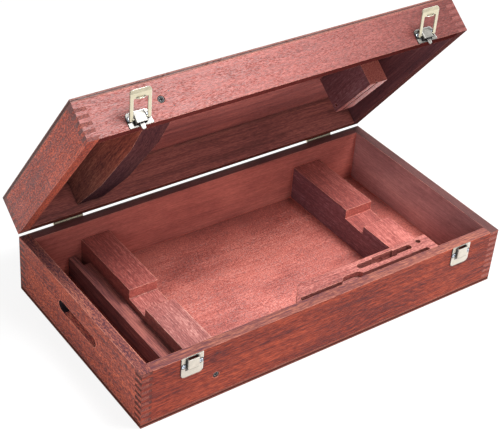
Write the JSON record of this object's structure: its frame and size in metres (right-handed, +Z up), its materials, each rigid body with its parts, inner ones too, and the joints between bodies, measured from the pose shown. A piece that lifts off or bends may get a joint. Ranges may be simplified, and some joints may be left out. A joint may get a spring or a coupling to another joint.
{
  "type": "instrument_case",
  "caption": "Hinged wooden instrument case, mahogany stained, with finger-jointed corners, two nickel bail latches, butt hinges and shaped inner cradle blocks, shown part open.",
  "frame": {"origin": "centre of the underside of the base, on the surface the case rests on", "axes": "+X to the right along the hinge line, -Y to the front where the latches are, +Z up"},
  "size_m": [0.51, 0.3196, 0.341],
  "materials": {
    "case_mahogany": "satin",
    "inner_mahogany": "satin",
    "stained_plywood": "satin",
    "nickel_plate": "worn",
    "blackened_steel": "semi-gloss"
  },
  "bodies": {
    "base": {"base_floor": "stained_plywood", "base_front_wall": "case_mahogany", "base_rear_wall": "case_mahogany", "base_left_wall": "case_mahogany", "base_right_wall": "case_mahogany", "left_cradle_block": "inner_mahogany", "right_cradle_block": "inner_mahogany", "low_rail": "inner_mahogany", "tool_block": "inner_mahogany", "left_strike_plate": "nickel_plate", "right_strike_plate": "nickel_plate", "strike_screws": "nickel_plate", "base_block_screw": "blackened_steel", "left_base_hinge_leaf": "nickel_plate", "right_base_hinge_leaf": "nickel_plate", "base_hinge_screws": "nickel_plate", "left_hinge_pin": "nickel_plate", "right_hinge_pin": "nickel_plate"},
    "lid": {"lid_panel": "stained_plywood", "lid_front_wall": "case_mahogany", "lid_rear_wall": "case_mahogany", "lid_left_wall": "case_mahogany", "lid_right_wall": "case_mahogany", "lid_left_block": "inner_mahogany", "lid_right_block": "inner_mahogany", "lid_block_screw": "blackened_steel", "left_keeper_plate": "nickel_plate", "right_keeper_plate": "nickel_plate", "keeper_screws": "nickel_plate", "left_lid_hinge_leaf": "nickel_plate", "right_lid_hinge_leaf": "nickel_plate", "lid_hinge_screws": "nickel_plate"},
    "left_bail": {"left_bail": "nickel_plate"},
    "right_bail": {"right_bail": "nickel_plate"}
  },
  "joints": [
    {"name": "lid_hinge", "type": "hinge", "parent": "base", "child": "lid", "pos_m": [0, 0.1404, 0.07715], "axis": [-1, 0, 0], "range_deg": [-53, 127]},
    {"name": "left_bail_hinge", "type": "hinge", "parent": "lid", "child": "left_bail", "pos_m": [-0.193, -0.02268, 0.30711], "axis": [-1, 0, 0], "range_deg": [-127, 53]},
    {"name": "right_bail_hinge", "type": "hinge", "parent": "lid", "child": "right_bail", "pos_m": [0.193, -0.02268, 0.30711], "axis": [-1, 0, 0], "range_deg": [-127, 53]}
  ]
}
